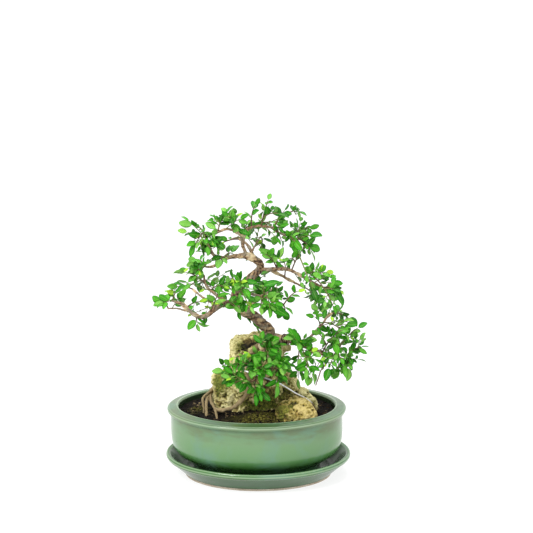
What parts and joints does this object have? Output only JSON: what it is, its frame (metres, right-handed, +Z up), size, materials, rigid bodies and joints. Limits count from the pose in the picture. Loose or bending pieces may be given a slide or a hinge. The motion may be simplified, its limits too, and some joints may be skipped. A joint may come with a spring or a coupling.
{
  "type": "japanese zelkova bonsai",
  "caption": "Small zelkova bonsai with a twisting trunk and leafy branches rooted over a rock, in an oval green glazed pot on a matching saucer.",
  "frame": {"origin": "centre of the saucer's flat foot, on the surface that it stands on", "axes": "+Z up; +X to the right and -Y towards the viewer of the front view; the long side of the oval pot runs along X"},
  "size_m": [0.2855, 0.205, 0.3784],
  "materials": {
    "glaze": "glossy celadon-green glaze, pooled paler at the edges",
    "soil": "loose dark potting soil with bits of bark and root",
    "rock": "rough pale tan limestone with moss in its hollows",
    "bark": "rough grey-brown bark, paler and pinkish on the roots",
    "leaf": "soft satin green leaf with a paler underside",
    "bright_wire": "bright drawn wire",
    "dark_wire": "dark anodised training wire"
  },
  "bodies": {
    "root": {"saucer": "glaze", "pot": "glaze", "soil": "soil", "rock_main": "rock", "rock_front": "rock", "rock_slab": "rock", "tree_wood": "bark", "guy_wire": "bright_wire", "branch_wire": "dark_wire", "spray_backHigh_1": "leaf", "spray_backLeft_1": "leaf", "spray_backLow_1": "leaf", "spray_backMid_1": "leaf", "spray_centre_1": "leaf", "spray_centre_2": "leaf", "spray_frontLow_1": "leaf", "spray_frontLow_2": "leaf", "spray_frontLow_3": "leaf", "spray_frontLow_4": "leaf", "spray_frontLow_5": "leaf", "spray_frontLow_6": "leaf", "spray_leaderLeft_1": "leaf", "spray_leaderLeft_2": "leaf", "spray_leaderRight_1": "leaf", "spray_leader_1": "leaf", "spray_leader_2": "leaf", "spray_leader_3": "leaf", "spray_leader_4": "leaf", "spray_leader_5": "leaf", "spray_leader_6": "leaf", "spray_leader_7": "leaf", "spray_leftLow_1": "leaf", "spray_leftLow_2": "leaf", "spray_leftLow_3": "leaf", "spray_leftLow_4": "leaf", "spray_leftLow_5": "leaf", "spray_leftMid_1": "leaf", "spray_leftMid_2": "leaf", "spray_leftMid_3": "leaf", "spray_leftThin_1": "leaf", "spray_rightLow_1": "leaf", "spray_rightLow_2": "leaf", "spray_rightLow_3": "leaf", "spray_rightLow_4": "leaf", "spray_rightUp_1": "leaf", "spray_rightUp_2": "leaf", "spray_shoot_1": "leaf", "spray_topLeftLow_1": "leaf", "spray_topLeft_1": "leaf", "spray_topLeft_2": "leaf", "spray_topLeft_3": "leaf", "spray_trunk_1": "leaf", "spray_upperRightLow_1": "leaf", "spray_upperRightLow_2": "leaf", "spray_upperRight_1": "leaf", "spray_upperRight_2": "leaf", "spray_upperRight_3": "leaf", "spray_upperRight_4": "leaf", "spray_upperRight_5": "leaf"}
  },
  "joints": []
}
